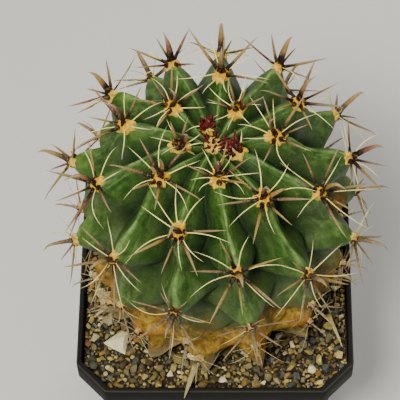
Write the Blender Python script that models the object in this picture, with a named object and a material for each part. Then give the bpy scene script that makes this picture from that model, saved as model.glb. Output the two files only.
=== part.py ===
"""Potted barrel cactus: a square pot, its grit, the ribbed body and a cluster of spines on every areole.

Metres, +Z up. The origin is the centre of the pot's underside.

The areoles follow one spiral: each is five thirteenths of a turn round from the one before it, which puts
them on thirteen ribs. A "step" below is a place along that spiral, 0 near the crown and rising with age.
"""
import math
import random

import bmesh
import bpy
import numpy as np
from mathutils import Matrix, Vector, noise
from mathutils.bvhtree import BVHTree

MM = 0.001
GAP = 0.3 * MM

# Pot: a square with cut corners, wider at the rim
POT_HEIGHT = 115 * MM
POT_RIM = 130 * MM
POT_RIM_DEPTH = 13 * MM
POT_LIP = 2.3 * MM
POT_BASE = 96 * MM
POT_WALL = 1.8 * MM
POT_FLOOR = 2.2 * MM
POT_STEP = 1.9 * MM
POT_CORNER_CUT = 14 * MM
POT_CORNER_ROUND = 2.5 * MM
POT_EDGE = 0.6 * MM
DRAIN_HOLES = 4
DRAIN_RADIUS = 5 * MM
DRAIN_FROM_CENTRE = 29 * MM
DRAIN_SIDES = 12
CORNER_BENDS = (0.0, 22.5, 45.0)

# Grit
SOIL_TOP = POT_HEIGHT - 8 * MM
SOIL_COLUMNS = 80
SOIL_RINGS = 7
SOIL_RELIEF = 1.3 * MM
SOIL_LUMP = 6 * MM
SOIL_FINER_INWARDS = 1.5
HOLE_RADIUS = 29 * MM
HOLE_DEPTH = 14 * MM

# Plant: outline of the rib crests as (step, radius, height over the rim), in mm
PLANT_CENTRE = Vector((1.0 * MM, 0.0, POT_HEIGHT))
CREST_OUTLINE = (
    (-5, 0.0, 111.0),
    (-2, 8.5, 115.0),
    (2, 20.5, 118.8),
    (7, 36.0, 117.0),
    (13, 52.0, 105.6),
    (19, 62.0, 89.0),
    (25, 65.4, 73.0),
    (32, 63.0, 54.0),
    (40, 59.5, 35.0),
    (47, 58.0, 21.5),
    (52, 56.0, 14.5),
    (55, 56.0, 6.5),
    (57, 55.5, -1.0),
    (59, 48.0, -4.8),
    (61, 33.0, -5.2),
)
# Depth of the furrows, and of the notches along a crest between two areoles, as (step, mm)
FURROW_DEPTH = ((-5, 0.2), (-2, 2.6), (2, 7.0), (7, 12.5), (13, 16.5), (20, 17.5), (27, 14.0), (34, 9.5),
                (41, 6.5), (46, 5.8), (50, 8.5), (52, 12.0), (54, 15.5), (56, 17.0), (58, 16.0),
                (59.5, 11.0), (61, 0.6))
NOTCH_DEPTH = ((-5, 0.0), (0, 1.6), (7, 4.2), (15, 6.5), (32, 6.5), (48, 4.5), (54, 1.0), (61, 0.0))
RIBS = 13
RIB_TURN = math.tau / RIBS
SPIRAL_RIBS = 5
FIRST_TURN = math.radians(-76.75)
LEAN_PER_STEP = math.radians(0.274)
# Near the crown the skin falls from crest to furrow as a power of the way across: high at an areole, low
# between two. Lower down it turns into a narrow ridge beside a broad, soft valley
SHARP_CREST = 1.15
ROUND_CREST = 1.7
CHIN = 0.85
VALLEY_FROM = 2
VALLEY_BY = 24
VALLEY_POWER = 1.9
VALLEY_SLOPE = 0.3
RIDGE_ROUND = 0.12
SHOULDER_ROUND = 0.26
SHOULDER_POWER = 6
FLANK_CUTS = 3
CROWN_STEPS = (-4.3, -3.2, -1.6)
BODY_STEP = RIBS / 6
LAST_BODY_STEP = 54.5
FOOT_STEPS = (55.6, 56.8, 57.9, 59, 60, 61)
SLOPE_REACH = 0.25
HALVINGS = 24
NECK_RADIUS = HOLE_RADIUS - GAP
NECK_DEPTH = HOLE_DEPTH - GAP

# Spines. Roll 0 points to the crown, 90 to the right seen from outside; lift is up from the skin
FIRST_AREOLE = -2
LAST_AREOLE = 52
AREOLE_TILT = math.radians(12)
PAD_RADIUS = 3.6 * MM
PAD_STRETCH = 1.3
PAD_HEIGHT = 1.8 * MM
PAD_TOP_SHARE = 0.5
SEAT_RINGS = 6
SEAT_RAYS = 90
SEAT_REACH = 10 * MM
# The seven radial spines from the lowest one up each side: length, width in mm and lift in degrees
RADIALS = ((15, 1.1, 22), (20, 1.5, 16), (18, 1.2, 11), (17, 1.2, 20))
RADIAL_COUNT = 2 * len(RADIALS) - 1
RADIAL_BEND = 0.1
SWAY_OUT = (-0.6, 1.0)
SWAY_UP = (-0.6, 0.4)
CENTRAL = (16.0, 2.3, 72)
CENTRAL_HOOK = 0.3
CENTRAL_FLAT = 0.6
SPINE_SECTIONS = ((0.2, 1.0), (0.62, 0.72))
LENGTH_SPREAD = (0.88, 1.1)
TURN_SPREAD = 5
RISE_SPREAD = (-3, 6)
STEEPEST = 88
# A spine that is in the way of another turns, rises and shortens by up to this much in so many tries
SPINE_CLEARANCE = 0.7 * MM
TRIES = 90
WIDEST_TURN = 38
LOWEST_RISE = -5
HIGHEST_RISE = 50
SHORTENED_BY = 0.3
# Points tested along a spine, those too near its root to test, and those beside its own neighbours
SPINE_CHECKS = 14
ROOT_CHECKS = 3
SHARED_CHECKS = 6
OLD_FROM = 26
OLD_BY = 44
OLD_SCALE = 0.68
OLD_LOSS = 0.5
YOUNG_SCALE = 0.42
YOUNG_PAD = 0.6
YOUNG_ERECT = 30
FULL_GROWN_STEP = 5
RANDOM_SEED = 13

# Edges that bend more than this many degrees stay sharp
POT_SHARP = 30
SOIL_SHARP = 60
BODY_SHARP = 55
SPINE_SHARP = 40

# Crown wool
WOOL_RADIUS = 3.3 * MM
WOOL_HEIGHT = 2.3 * MM
BUD_SCALE = 0.36
CROWN_OWNER = -9


def clear_scene():
    for obj in list(bpy.data.objects):
        bpy.data.objects.remove(obj, do_unlink=True)


def make_material(name, colour, roughness):
    material = bpy.data.materials.new(name)
    material.use_nodes = True
    shader = material.node_tree.nodes["Principled BSDF"]
    shader.inputs["Base Color"].default_value = (*colour, 1.0)
    shader.inputs["Roughness"].default_value = roughness
    shader.inputs["Metallic"].default_value = 0.0
    material.diffuse_color = (*colour, 1.0)
    return material


def add_object(name, bm, material, sharp_angle):
    mesh = bpy.data.meshes.new(name)
    bm.to_mesh(mesh)
    bm.free()
    mesh.materials.append(material)
    mesh.shade_smooth()
    mesh.set_sharp_from_angle(angle=math.radians(sharp_angle))
    obj = bpy.data.objects.new(name, mesh)
    bpy.context.collection.objects.link(obj)
    return obj


def extrude_to(bm, face, points):
    """Extrudes a face and puts its corners on the given points, in order."""
    moved = bmesh.ops.extrude_discrete_faces(bm, faces=[face])["faces"][0]
    for vert, point in zip(moved.verts, points):
        vert.co = point
    return moved


def loft(loops):
    """One closed body through loops of equal count, each anticlockwise seen from above at the start."""
    bm = bmesh.new()
    first = [bm.verts.new(point) for point in loops[0]]
    face = bm.faces.new(first)
    for points in loops[1:]:
        face = extrude_to(bm, face, points)
    bm.faces.new(list(reversed(first)))
    return bm


def read_curve(rows, step):
    """Values at a step on a smooth curve through (step, value, ...) rows."""
    last = len(rows) - 1
    index = max(i for i in range(last) if i == 0 or rows[i][0] <= step)
    before, start = rows[max(index - 1, 0)], rows[index]
    end, after = rows[index + 1], rows[min(index + 2, last)]
    span = end[0] - start[0]
    t = (step - start[0]) / span
    values = []
    for column in range(1, len(start)):
        leaving = (end[column] - before[column]) / (end[0] - before[0]) * span
        arriving = (after[column] - start[column]) / (after[0] - start[0]) * span
        values.append(
            (2 * t**3 - 3 * t**2 + 1) * start[column]
            + (t**3 - 2 * t**2 + t) * leaving
            + (3 * t**2 - 2 * t**3) * end[column]
            + (t**3 - t**2) * arriving
        )
    return values


def crest(step):
    """Radius and height of the crest outline, and its outward normal in that plane."""
    radius, height = (value * MM for value in read_curve(CREST_OUTLINE, step))
    start = read_curve(CREST_OUTLINE, max(step - SLOPE_REACH, CREST_OUTLINE[0][0]))
    end = read_curve(CREST_OUTLINE, min(step + SLOPE_REACH, CREST_OUTLINE[-1][0]))
    run, rise = end[0] - start[0], end[1] - start[1]
    size = math.hypot(run, rise)
    return radius, height, (-rise / size, run / size)


def around(turn, radius, height):
    """A point of the plant: turn 0 faces -Y and grows towards +X."""
    return PLANT_CENTRE + Vector((radius * math.sin(turn), -radius * math.cos(turn), height))


def rib_turn(rib, step):
    return FIRST_TURN + rib * RIB_TURN + LEAN_PER_STEP * step


def areole_phase(rib, step):
    """0 at an areole of this rib, rising to 1 at the next older one."""
    return ((step - SPIRAL_RIBS * rib) % RIBS) / RIBS


def rib_depth(rib, step, share):
    """How far the skin lies under the crest outline, share rib half-widths from this rib's crest."""
    phase = areole_phase(rib, step)
    furrow = read_curve(FURROW_DEPTH, step)[0] * MM
    notch = read_curve(NOTCH_DEPTH, step)[0] * MM
    return notch * math.sin(math.pi * phase**CHIN) ** 2 + furrow * flank_shape(step, phase, abs(share))


def flank_shape(step, phase, aside):
    """Share of the furrow's depth reached at a distance aside from the crest, in rib half-widths."""
    power = SHARP_CREST + (ROUND_CREST - SHARP_CREST) * math.cos(math.pi * phase) ** 2
    ridge = RIDGE_ROUND + SHOULDER_ROUND * math.cos(math.pi * phase) ** SHOULDER_POWER
    rounded = min(math.hypot(aside, ridge) - ridge, 1.0)
    valley = 1 - (1 - rounded) ** VALLEY_POWER + VALLEY_SLOPE * max(aside - 1, 0.0)
    way = min(max((step - VALLEY_FROM) / (VALLEY_BY - VALLEY_FROM), 0.0), 1.0)
    low = way * way * (3 - 2 * way)
    return aside**power * (1 - low) + valley * low


def furrow_share(rib, step):
    """Where this rib meets the next one, in half-widths from its crest."""
    low, high = 0.0, 2.0
    for _ in range(HALVINGS):
        middle = (low + high) / 2
        if rib_depth(rib, step, middle) < rib_depth(rib + 1, step, 2 - middle):
            low = middle
        else:
            high = middle
    return (low + high) / 2


def body_ring(step):
    """One turn round the body: crest, flank, furrow and flank of each rib."""
    radius, height, (out, up) = crest(step)
    points = []
    for rib in range(RIBS):
        furrow = furrow_share(rib, step)
        places = [(rib, furrow * i / FLANK_CUTS) for i in range(FLANK_CUTS + 1)]
        places += [(rib + 1, (furrow - 2) * i / FLANK_CUTS) for i in range(FLANK_CUTS - 1, 0, -1)]
        for owner, share in places:
            depth = rib_depth(owner, step, share)
            turn = rib_turn(owner, step) + share * RIB_TURN / 2
            points.append(around(turn, radius - depth * out, height - depth * up))
    return points


def neck_ring(height):
    count = RIBS * 2 * FLANK_CUTS
    start = rib_turn(0, FOOT_STEPS[-1])
    return [around(start + math.tau * i / count, NECK_RADIUS, height - POT_HEIGHT) for i in range(count)]


def make_body(material):
    steps = list(CROWN_STEPS)
    steps += [i * BODY_STEP for i in range(math.ceil(LAST_BODY_STEP / BODY_STEP))]
    steps += FOOT_STEPS
    loops = [neck_ring(SOIL_TOP - NECK_DEPTH), neck_ring(SOIL_TOP)]
    loops += [body_ring(step) for step in reversed(steps)]
    bm = loft(loops)
    bmesh.ops.triangulate(bm, faces=bm.faces)
    return add_object("cactus_body", bm, material, BODY_SHARP)


def corner_cut(width):
    return POT_CORNER_CUT * width / POT_RIM


def square_outline(width, height):
    """A square with cut, rounded corners, as a loop at one height."""
    inner = width / 2 - POT_CORNER_ROUND
    side = width / 2 - corner_cut(width) - POT_CORNER_ROUND * (math.sqrt(2) - 1)
    points = []
    for quarter in range(4):
        spin = Matrix.Rotation(quarter * math.pi / 2, 3, "Z")
        for centre, start in ((Vector((inner, side, height)), 0.0), (Vector((side, inner, height)), 45.0)):
            for bend in CORNER_BENDS:
                angle = math.radians(start + bend)
                out = Vector((math.cos(angle), math.sin(angle), 0.0)) * POT_CORNER_ROUND
                points.append(spin @ (centre + out))
    return points


def wall_width(height):
    """Outer width of the tapered wall under the rim."""
    top = POT_RIM - 2 * POT_STEP
    return POT_BASE + (top - POT_BASE) * height / POT_HEIGHT


def inner_width(height):
    """Width inside the wall: the rim's inside is parallel, and the wall below it tapers."""
    if height > POT_HEIGHT - POT_RIM_DEPTH:
        return POT_RIM - 2 * POT_LIP
    return wall_width(height) - 2 * POT_WALL


def make_pot(material):
    under_rim = POT_HEIGHT - POT_RIM_DEPTH
    rim_inside = inner_width(POT_HEIGHT)
    sections = (
        (POT_BASE - 2 * POT_EDGE, 0.0),
        (POT_BASE, POT_EDGE),
        (wall_width(under_rim), under_rim),
        (POT_RIM - POT_EDGE, under_rim),
        (POT_RIM, under_rim + POT_EDGE),
        (POT_RIM, POT_HEIGHT - POT_EDGE),
        (POT_RIM - POT_EDGE, POT_HEIGHT),
        (rim_inside, POT_HEIGHT),
        (rim_inside, under_rim + POT_WALL),
        (inner_width(under_rim), under_rim),
        (inner_width(POT_FLOOR), POT_FLOOR),
    )
    outlines = [square_outline(width, height) for width, height in sections]
    pot = add_object("pot", loft(outlines), material, POT_SHARP)
    for number in range(DRAIN_HOLES):
        turn = math.tau * (number + 0.5) / DRAIN_HOLES
        cut_drain_hole(pot, number, DRAIN_FROM_CENTRE * math.cos(turn), DRAIN_FROM_CENTRE * math.sin(turn))
    return pot


def cut_drain_hole(pot, number, x, y):
    bm = bmesh.new()
    bmesh.ops.create_cone(bm, cap_ends=True, segments=DRAIN_SIDES, radius1=DRAIN_RADIUS, radius2=DRAIN_RADIUS,
                          depth=4 * POT_FLOOR, matrix=Matrix.Translation((x, y, POT_FLOOR / 2)))
    cutter = add_object(f"drain_cutter_{number}", bm, pot.data.materials[0], POT_SHARP)
    cutter.hide_render = True
    cutter.display_type = "WIRE"
    cut = pot.modifiers.new(f"drain_{number}", "BOOLEAN")
    cut.operation = "DIFFERENCE"
    cut.object = cutter


def soil_radius(turn, width):
    """Distance from the pot's centre to a square outline with cut corners."""
    x, y = abs(math.sin(turn)), abs(math.cos(turn))
    return min(width / 2 / max(x, y), (width - corner_cut(width)) / (x + y))


def soil_ring(share, height, relief=0.0):
    """A loop of grit: share 0 is the hole for the neck, 1 the pot's wall."""
    points = []
    # The loop's flats, not its corners, lie on the hole's radius
    hole_radius = HOLE_RADIUS / math.cos(math.pi / SOIL_COLUMNS)
    for i in range(SOIL_COLUMNS):
        turn = math.tau * (i + 0.5) / SOIL_COLUMNS
        side = Vector((math.sin(turn), -math.cos(turn), 0.0))
        wall = side * (soil_radius(turn, inner_width(height)) - GAP)
        hole = Vector((PLANT_CENTRE.x, PLANT_CENTRE.y, 0.0)) + side * hole_radius
        point = hole.lerp(wall, share) + Vector((0.0, 0.0, height))
        point.z += relief * noise.noise(point / SOIL_LUMP)
        points.append(point)
    return points


def make_soil(material):
    """A bed that fills the pot, its lumpy top open round a plain hole for the plant's neck."""
    under_rim = POT_HEIGHT - POT_RIM_DEPTH
    loops = [soil_ring(1.0, POT_FLOOR + GAP), soil_ring(1.0, under_rim - GAP)]
    for i in range(SOIL_RINGS):
        share = 1.0 - (i / SOIL_RINGS) ** SOIL_FINER_INWARDS
        loops.append(soil_ring(share, SOIL_TOP, SOIL_RELIEF * 2))
    loops += [soil_ring(0.0, SOIL_TOP), soil_ring(0.0, SOIL_TOP - HOLE_DEPTH)]
    return add_object("soil", loft(loops), material, SOIL_SHARP)


def grown(step):
    """0 for the youngest areole, 1 from the step where spines have their full length."""
    share = (step - FIRST_AREOLE) / (FULL_GROWN_STEP - FIRST_AREOLE)
    return min(max(share, 0.0), 1.0)


def worn(step):
    """0 for a sound areole, 1 for the old ones by the grit, whose spines are shorter and partly lost."""
    return min(max((step - OLD_FROM) / (OLD_BY - OLD_FROM), 0.0), 1.0)


def areole_frame(step):
    """The areole's place on its crest, with its out, up (to the crown) and right directions."""
    turn = FIRST_TURN - SPIRAL_RIBS * RIB_TURN * step + LEAN_PER_STEP * step
    radius, height, (out, up) = crest(step)
    side = Vector((math.sin(turn), -math.cos(turn), 0.0))
    normal = side * out + Vector((0.0, 0.0, up))
    to_crown = Vector((0.0, 0.0, out)) - side * up
    right = to_crown.cross(normal)
    tilt = Matrix.Rotation(-AREOLE_TILT * grown(step), 3, right)
    return around(turn, radius, height), tilt @ normal, tilt @ to_crown, right


def crown_frame():
    top = around(0.0, 0.0, CREST_OUTLINE[0][2] * MM)
    return top, Vector((0, 0, 1)), Vector((0, 1, 0)), Vector((1, 0, 0))


def seat_pad(skin, frame, radius):
    """Moves a frame out along its normal until the pad's flat underside clears the skin."""
    place, normal, up, right = frame
    lifts = []
    for ring in range(SEAT_RINGS + 1):
        for i in range(SEAT_RAYS):
            angle = math.tau * i / SEAT_RAYS
            side = up * math.cos(angle) * PAD_STRETCH + right * math.sin(angle)
            offset = side * radius * ring / SEAT_RINGS
            hit = skin.ray_cast(place + offset + normal * SEAT_REACH, -normal)[0]
            lifts.append((hit - place).dot(normal))
    return place + normal * (max(lifts) + GAP), normal, up, right


def pad_body(frame, radius, height):
    """A low seven-sided pad whose flank is triangles, so that each radial spine grows from one of them."""
    place, normal, up, right = frame
    loops = []
    for size, rise, shift in ((radius, 0.0, 0.5), (radius * PAD_TOP_SHARE, height, 0.0)):
        loop = []
        for i in range(RADIAL_COUNT):
            roll = math.pi - (i - shift) * math.tau / RADIAL_COUNT
            side = up * math.cos(roll) * PAD_STRETCH + right * math.sin(roll)
            loop.append(place + side * size + normal * rise)
        loops.append(loop)
    bm = loft(loops)
    flank = [face for face in bm.faces if len(face.verts) == 4]
    bmesh.ops.triangulate(bm, faces=flank, quad_method="SHORT_EDGE")
    return bm


def pad_roots(bm, frame, height):
    """The pad's top face, and the flank triangles on its lower edge with their rolls in degrees."""
    place, normal, up, right = frame
    top, flank = None, []
    for face in bm.faces:
        low = sum((vert.co - place).dot(normal) < height / 2 for vert in face.verts)
        out = face.calc_center_median() - place
        if low == 0:
            top = face
        elif low == 2 and len(face.verts) == 3:
            flank.append((math.degrees(math.atan2(out.dot(right), out.dot(up))), face))
    return top, flank


def spine_line(root, reach, bend, shares):
    return [root + reach * share + bend * share**2 for share in shares]


class Crowd:
    """The spines placed so far, so that each new one can be bent clear of them, the skin, grit and pot."""

    def __init__(self, skin, pads):
        self.skin = skin
        self.pads = pads
        self.marks = np.empty((0, 3))
        self.widths = np.empty(0)
        self.owners = np.empty(0)

    def is_clear(self, line, width, owner):
        for point in line[ROOT_CHECKS:]:
            near, normal, _, distance = self.skin.find_nearest(point)
            if (point - near).dot(normal) < 0 or distance < width / 2 + SPINE_CLEARANCE:
                return False
            over_soil = max(abs(point.x), abs(point.y)) < POT_RIM / 2 - 2 * POT_LIP
            floor = SOIL_TOP + 2 * SOIL_RELIEF if over_soil else POT_HEIGHT
            if point.z < floor + width / 2 + SPINE_CLEARANCE:
                return False
            for number, (pad, radius) in self.pads.items():
                if number != owner and (point - pad).length < radius + width / 2:
                    return False
        if not len(self.marks):
            return True
        mine = np.array(line)
        apart = np.linalg.norm(mine[:, None] - self.marks[None], axis=2)
        apart -= (width + self.widths)[None] / 2 + SPINE_CLEARANCE
        # Spines of one pad start side by side, so only their outer parts are compared
        apart[:SHARED_CHECKS, self.owners == owner] = 1.0
        return bool(apart.min() > 0)

    def add(self, line, width, owner):
        self.marks = np.concatenate([self.marks, np.array(line)])
        self.widths = np.concatenate([self.widths, np.full(len(line), width)])
        self.owners = np.concatenate([self.owners, np.full(len(line), owner)])


def find_way(crowd, rng, frame, root, plan, owner):
    """A spine's reach and bend: the planned ones or, where these are blocked, others that are free."""
    _, normal, up, right = frame
    length, width, lift, roll, hook = plan
    length *= rng.uniform(*LENGTH_SPREAD)
    shares = [i / SPINE_CHECKS for i in range(SPINE_CHECKS + 1)]
    for attempt in range(TRIES):
        strain = attempt / TRIES
        turn = roll + rng.uniform(-1, 1) * (TURN_SPREAD + WIDEST_TURN * strain)
        rise = lift + rng.uniform(*RISE_SPREAD) + rng.uniform(LOWEST_RISE, HIGHEST_RISE) * strain
        turn, rise = math.radians(turn), math.radians(min(rise, STEEPEST))
        away = up * math.cos(turn) + right * math.sin(turn)
        reach = (away * math.cos(rise) + normal * math.sin(rise)) * length * (1 - SHORTENED_BY * strain)
        sway = normal * rng.uniform(*SWAY_OUT) + up * rng.uniform(*SWAY_UP)
        bend = (-up * hook if hook else sway * RADIAL_BEND) * length
        line = spine_line(root, reach, bend, shares)
        if crowd.is_clear(line, width, owner):
            crowd.add(line, width, owner)
            return reach, bend
    return None


def grow_spine(bm, face, frame, reach, bend, width, flat):
    """Extrudes a facet of the pad into a tapered, bent spine."""
    right = frame[3]
    root = face.calc_center_median()
    along = reach.normalized()
    sides = []
    for vert in face.verts:
        out = vert.co - root
        out -= along * out.dot(along)
        out.normalize()
        sides.append(right * out.dot(right) + (out - right * out.dot(right)) * flat)
    for share, thickness in SPINE_SECTIONS:
        centre = spine_line(root, reach, bend, [share])[0]
        face = extrude_to(bm, face, [centre + side * width / 2 * thickness for side in sides])
    tip = spine_line(root, reach, bend, [1.0])[0]
    face = extrude_to(bm, face, [tip] * len(sides))
    bmesh.ops.pointmerge(bm, verts=list(face.verts), merge_co=tip)


def make_cluster(name, frame, material, crowd, rng, owner, share, loss, radius, height, scale):
    """A pad and its spines as one body; share is how far the areole has grown up, loss its missing spines."""
    bm = pad_body(frame, radius, height)
    top, flank = pad_roots(bm, frame, height)
    length, width, lift = CENTRAL
    jobs = [(top, (length * MM * scale, width * MM, lift, 0.0, CENTRAL_HOOK), CENTRAL_FLAT)]
    for roll, face in flank:
        if rng.random() < loss:
            continue
        rank = round((180 - abs(roll)) / 360 * RADIAL_COUNT)
        length, width, lift = RADIALS[rank]
        lift += YOUNG_ERECT * (1 - share)
        jobs.append((face, (length * MM * scale, width * MM, lift, roll, 0.0), 1.0))
    for face, plan, flat in jobs:
        way = find_way(crowd, rng, frame, face.calc_center_median(), plan, owner)
        if way:
            grow_spine(bm, face, frame, *way, plan[1] * (1 + scale) / 2, flat)
    return add_object(name, bm, material, SPINE_SHARP)


def skin_tree(body):
    bm = bmesh.new()
    bm.from_mesh(body.data)
    tree = BVHTree.FromBMesh(bm)
    bm.free()
    return tree


def make_spines(body, spine_material, wool_material):
    """The crown's wool, and a cluster on each areole from the youngest to the oldest."""
    skin = skin_tree(body)
    rng = random.Random(RANDOM_SEED)
    steps = range(FIRST_AREOLE, LAST_AREOLE + 1)
    pad_scale = {step: YOUNG_PAD + (1 - YOUNG_PAD) * grown(step) for step in steps}
    frames = {step: seat_pad(skin, areole_frame(step), PAD_RADIUS * pad_scale[step]) for step in steps}
    crown = seat_pad(skin, crown_frame(), WOOL_RADIUS)
    pads = {step: (frames[step][0], PAD_RADIUS * PAD_STRETCH * pad_scale[step]) for step in steps}
    pads[CROWN_OWNER] = (crown[0], WOOL_RADIUS * PAD_STRETCH)
    crowd = Crowd(skin, pads)
    for step in steps:
        name = f"spines_{step - FIRST_AREOLE + 1:02d}"
        scale = YOUNG_SCALE + (1 - YOUNG_SCALE) * grown(step) + (OLD_SCALE - 1) * worn(step)
        make_cluster(name, frames[step], spine_material, crowd, rng, step, grown(step), OLD_LOSS * worn(step),
                     PAD_RADIUS * pad_scale[step], PAD_HEIGHT * pad_scale[step], scale)
    make_cluster("crown_wool", crown, wool_material, crowd, rng, CROWN_OWNER, 0.0, 0.0,
                 WOOL_RADIUS, WOOL_HEIGHT, BUD_SCALE)


clear_scene()
make_pot(make_material("black_plastic", (0.02, 0.02, 0.02), 0.6))
make_soil(make_material("grit", (0.4, 0.33, 0.24), 0.9))
plant = make_body(make_material("green_skin", (0.13, 0.26, 0.09), 0.5))
spine = make_material("spine", (0.5, 0.33, 0.2), 0.5)
make_spines(plant, spine, make_material("wool", (0.75, 0.68, 0.5), 0.95))
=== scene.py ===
import math
import random

import bmesh
import bpy
import numpy as np
from mathutils import Matrix, Vector, noise
from mathutils.bvhtree import BVHTree


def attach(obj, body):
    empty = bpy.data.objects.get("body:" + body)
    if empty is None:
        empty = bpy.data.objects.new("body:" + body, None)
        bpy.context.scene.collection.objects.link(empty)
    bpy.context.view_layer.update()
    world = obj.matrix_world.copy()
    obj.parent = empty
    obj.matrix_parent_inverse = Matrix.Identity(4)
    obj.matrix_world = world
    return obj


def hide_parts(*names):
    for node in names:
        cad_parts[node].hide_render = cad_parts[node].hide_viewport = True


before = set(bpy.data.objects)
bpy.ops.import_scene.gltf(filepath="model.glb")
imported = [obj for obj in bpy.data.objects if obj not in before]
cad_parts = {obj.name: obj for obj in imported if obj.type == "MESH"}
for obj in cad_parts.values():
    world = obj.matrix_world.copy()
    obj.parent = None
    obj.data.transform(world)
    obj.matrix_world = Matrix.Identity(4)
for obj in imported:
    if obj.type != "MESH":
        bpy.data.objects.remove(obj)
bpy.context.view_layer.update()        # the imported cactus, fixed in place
print("frame loaded:", len(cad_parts), "nodes")
mm = 0.001


# Shader maths: a Wire is one socket, and Python's operators on it add Math nodes. most takes the higher of
# two, size is the absolute value and wave the sine

def mathsNode(operation):
    def apply(wire, other=0):
        return wire.paint.node("ShaderNodeMath", {"operation": operation}, {0: wire, 1: other})

    return apply


class Wire:
    def __init__(self, paint, socket):
        self.paint = paint
        self.socket = socket

    __add__ = __radd__ = mathsNode("ADD")
    __mul__ = __rmul__ = mathsNode("MULTIPLY")
    __sub__, most = mathsNode("SUBTRACT"), mathsNode("MAXIMUM")
    size, wave = mathsNode("ABSOLUTE"), mathsNode("SINE")

    def __rsub__(self, other):
        return self.paint.node("ShaderNodeMath", {"operation": "SUBTRACT"}, {0: other, 1: self})

    def between(self, low, high):      # 0 at low, 1 at high, soft in between
        sockets = {"Value": self, "From Min": low, "From Max": high}
        return self.paint.node("ShaderNodeMapRange", {"interpolation_type": "SMOOTHSTEP"}, sockets)


class Paint:
    def __init__(self, name, colour, **fixed):
        self.material = bpy.data.materials.new(name)
        self.material.use_nodes = True
        self.material.diffuse_color = (*colour, 1)
        self.tree = self.material.node_tree
        self.shader = self.tree.nodes["Principled BSDF"]
        for socket, value in fixed.items():
            self.shader.inputs[socket.replace("_", " ")].default_value = value
        self.place = self.node("ShaderNodeTexCoord", {}, {}, "Object")

    def node(self, kind, settings, sockets, out=0):
        made = self.tree.nodes.new(kind)
        for key, value in settings.items():
            if key == "stops":
                self.setStops(made.color_ramp, value)
            else:
                setattr(made, key, value)
        for key, value in sockets.items():
            self.feed(made.inputs[key], value)
        return Wire(self, made.outputs[out])

    def setStops(self, ramp, stops):
        while len(ramp.elements) < len(stops):
            ramp.elements.new(1.0)
        for element, (at, colour) in zip(ramp.elements, stops):
            element.position = at
            element.color = (*colour, 1)

    def feed(self, socket, value):
        if isinstance(value, Wire):
            self.tree.links.new(value.socket, socket)
        elif isinstance(value, tuple) and len(value) == 3 and socket.type == "RGBA":
            socket.default_value = (*value, 1)
        else:
            socket.default_value = value

    def noise(self, size, detail=2.0, roughness=0.5, stretch=None, place=None):     # size of a lump in metres
        place = place or self.place
        if stretch:
            place = self.node("ShaderNodeVectorMath", {"operation": "MULTIPLY"}, {0: place, 1: stretch})
        sockets = {"Vector": place, "Scale": 1 / size, "Detail": detail, "Roughness": roughness}
        return self.node("ShaderNodeTexNoise", {}, sockets)

    def join(self, first, second, third):
        return self.node("ShaderNodeCombineXYZ", {}, {0: first, 1: second, 2: third})

    def read(self, *names):       # values kept on the mesh
        return [self.node("ShaderNodeAttribute", {"attribute_name": name}, {}, "Fac") for name in names]

    def spot(self, place, radius):      # 1 at a place, 0 beyond the radius, both in mm
        place, radius = tuple(value * mm for value in place), radius * mm
        away = self.node("ShaderNodeVectorMath", {"operation": "DISTANCE"}, {0: self.place, 1: place}, 1)
        return 1 - away.between(radius * 0.5, radius)

    def axis(self, number):
        return self.node("ShaderNodeSeparateXYZ", {}, {0: self.place}, number)

    def height(self):
        return self.axis(2)

    def ramp(self, value, *stops):
        return self.node("ShaderNodeValToRGB", {"stops": stops}, {0: value})

    def mix(self, share, first, second, blend="MIX"):
        settings = {"data_type": "RGBA", "blend_type": blend}
        return self.node("ShaderNodeMix", settings, {0: share, 6: first, 7: second}, 2)

    def over(self, colour, *layers):      # each layer's share and colour, laid over the one before
        for share, layer in layers:
            colour = self.mix(share, colour, layer)
        return colour

    def finish(self, colour, roughness, relief, depth):     # relief's depth in metres
        self.feed(self.shader.inputs["Base Color"], colour)
        self.feed(self.shader.inputs["Roughness"], roughness)
        bump = self.node("ShaderNodeBump", {}, {"Distance": depth, "Height": relief})
        self.feed(self.shader.inputs["Normal"], bump)
        return self.material


# Pieces: every one is a mesh at the origin that rides on the one body

def newObject(name, data):
    made = bpy.data.objects.new(name, data)
    bpy.context.scene.collection.objects.link(made)
    return made


def addPiece(name, mesh, materials, slot, *nodes):
    for material in materials:
        mesh.materials.append(material)
    piece = newObject(name, mesh)
    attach(piece, "root")
    if nodes:
        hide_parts(*nodes)
    return piece


def fillHoles(bm):
    bmesh.ops.edgeloop_fill(bm, edges=[edge for edge in bm.edges if edge.is_boundary])


def closeMesh(name, bm, sharpAngle=None):
    mesh = bpy.data.meshes.new(name)
    bm.to_mesh(mesh)
    bm.free()
    mesh.shade_smooth()
    if sharpAngle:
        mesh.set_sharp_from_angle(angle=math.radians(sharpAngle))
    return mesh


# A shape that repeats is made once by bmesh and kept as arrays. A Pile gathers its bent copies in one mesh

def shapeArrays(bm):
    bm.verts.ensure_lookup_table()
    points = np.array([vert.co for vert in bm.verts])
    faces = [[vert.index for vert in face.verts] for face in bm.faces]
    bm.free()
    return points, faces


def nodeMesh(node):      # the frame's solid
    bm = bmesh.new()
    bm.from_mesh(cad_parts[node].data)
    return bm


class Pile:
    def __init__(self):
        self.points = []
        self.faces = []
        self.values = {}
        self.count = 0

    def add(self, points, faces, **values):
        self.points.append(points)
        self.faces += [[index + self.count for index in face] for face in faces]
        for key, value in values.items():
            self.values.setdefault(key, []).append(np.broadcast_to(value, len(points)))
        self.count += len(points)

    def mesh(self, name):
        made = bpy.data.meshes.new(name)
        made.from_pydata(np.concatenate(self.points).tolist(), [], self.faces)
        for key, values in self.values.items():
            layer = made.attributes.new(key, "FLOAT", "POINT")
            layer.data.foreach_set("value", np.concatenate(values).astype(np.float32))
        made.shade_smooth()
        return made


# The plant's rule: thirteen ribs, and areoles on one spiral. A step is a place along it, and rises with age

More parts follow.
